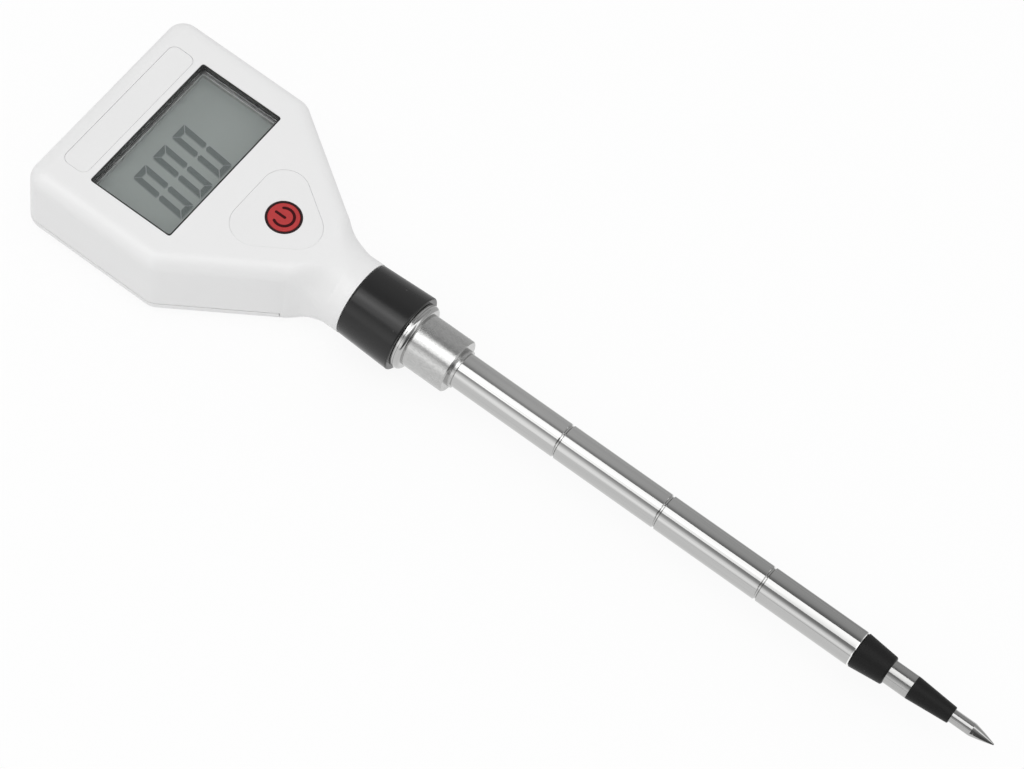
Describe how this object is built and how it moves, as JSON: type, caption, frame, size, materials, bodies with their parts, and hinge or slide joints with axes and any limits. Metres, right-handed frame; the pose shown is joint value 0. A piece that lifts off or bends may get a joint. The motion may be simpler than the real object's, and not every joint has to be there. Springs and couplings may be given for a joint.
{
  "type": "soil ec meter",
  "caption": "Handheld soil conductivity meter: flat display head with a key, a screw collar and a slim steel probe that ends in insulated electrodes.",
  "frame": {"origin": "on the probe axis, where the steel shaft leaves the ferrule", "axes": "+Z is the way the display faces, -Y runs along the probe to its tip, +X is the reading direction of the display"},
  "size_m": [0.0516, 0.2256, 0.0204],
  "materials": {
    "housing_white": "fine moulded satin",
    "inlay_white": "matt film",
    "black_plastic": "satin",
    "red_plastic": "satin",
    "clear_window": "polished",
    "display_glass": "reflective display, matt",
    "frame_plastic": "moulded",
    "elastomer": "matt",
    "switch_plastic": "moulded",
    "board_green": "solder mask",
    "chip_black": "moulded",
    "screw_steel": "zinc plated",
    "cell_nickel": "nickel plated",
    "spring_metal": "nickel plated",
    "contact_gold": "gold plated",
    "polished_steel": "polished",
    "probe_steel": "turned and brushed along the shaft",
    "wire_coat": "insulated wire"
  },
  "bodies": {
    "head": {"front_housing": "housing_white", "rear_cover": "housing_white", "case_screws": "screw_steel", "name_plate": "inlay_white", "key_overlay": "inlay_white", "button_trim": "black_plastic", "tact_switch": "switch_plastic", "lcd_bezel": "black_plastic", "lcd_window": "clear_window", "lcd_panel": "display_glass", "lcd_holder": "frame_plastic", "lcd_contact_strips": "elastomer", "main_board": "board_green", "board_screws": "screw_steel", "controller_chip": "chip_black", "board_components": "chip_black", "battery_cells": "cell_nickel", "battery_contacts": "spring_metal", "probe_socket": "black_plastic", "socket_contacts": "contact_gold"},
    "key": {"power_button": "red_plastic", "switch_plunger": "switch_plastic"},
    "door": {"battery_door": "housing_white", "cell_link": "spring_metal"},
    "probe": {"retaining_ring": "polished_steel", "ferrule": "probe_steel", "shaft_tube": "probe_steel", "upper_insulator": "black_plastic", "ring_electrode": "probe_steel", "lower_insulator": "black_plastic", "tip_electrode": "probe_steel", "probe_plug": "black_plastic", "plug_pins": "contact_gold", "seal_ring": "elastomer", "temperature_sensor": "chip_black", "probe_wires": "wire_coat"},
    "collar": {"coupling_collar": "black_plastic"}
  },
  "joints": [
    {"name": "key_press", "type": "slide", "parent": "head", "child": "key", "axis": [0, 0, -1], "range_m": [0, 0.0007], "stiffness_N_per_m": 2000},
    {"name": "door_slide", "type": "slide", "parent": "head", "child": "door", "axis": [0, 1, 0], "range_m": [0, 0.016]},
    {"name": "probe_draw", "type": "slide", "parent": "head", "child": "probe", "axis": [0, -1, 0], "range_m": [0, 0.006]},
    {"name": "collar_turn", "type": "hinge", "parent": "probe", "child": "collar", "pos_m": [0, 0.01935, 0], "axis": [0, -1, 0], "range_deg": [0, 1440]}
  ],
  "couplings": [
    {"joint": "collar_turn", "follows": "probe_draw", "rad_per_m": 4188.8}
  ]
}
